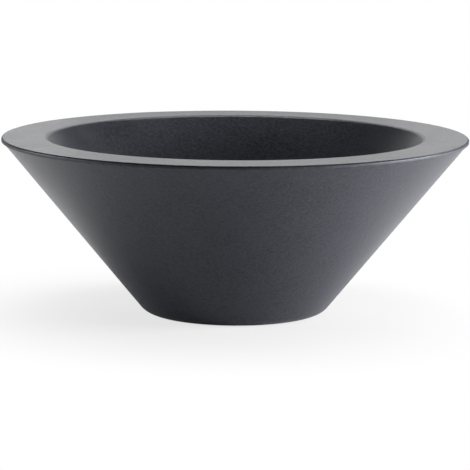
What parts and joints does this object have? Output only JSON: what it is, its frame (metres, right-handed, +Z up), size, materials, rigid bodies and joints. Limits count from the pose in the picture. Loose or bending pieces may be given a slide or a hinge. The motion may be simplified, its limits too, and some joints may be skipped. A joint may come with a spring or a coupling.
{
  "type": "bowl planter",
  "caption": "Low bowl planter, a tapered double-walled plastic bowl with a wide flat rim, a notched foot ring and a pull-out drain plug.",
  "frame": {"origin": "on the ground under the middle of the foot ring", "axes": "+Z up along the bowl's own axis; -Y is the side that the picture shows"},
  "size_m": [0.6, 0.5998, 0.228],
  "materials": {
    "moulded_polyethylene": "rotationally moulded, fine matt grain",
    "black_rubber": "moulded rubber, dull",
    "black_polyethylene": "injection moulded, satin"
  },
  "bodies": {
    "bowl": {"bowl_shell": "moulded_polyethylene", "vent_plug": "black_polyethylene"},
    "plug": {"drain_plug": "black_rubber"}
  },
  "joints": [
    {"name": "drain_plug_pull", "type": "slide", "parent": "bowl", "child": "plug", "axis": [0, 0, 1], "range_m": [0, 0.22]}
  ]
}
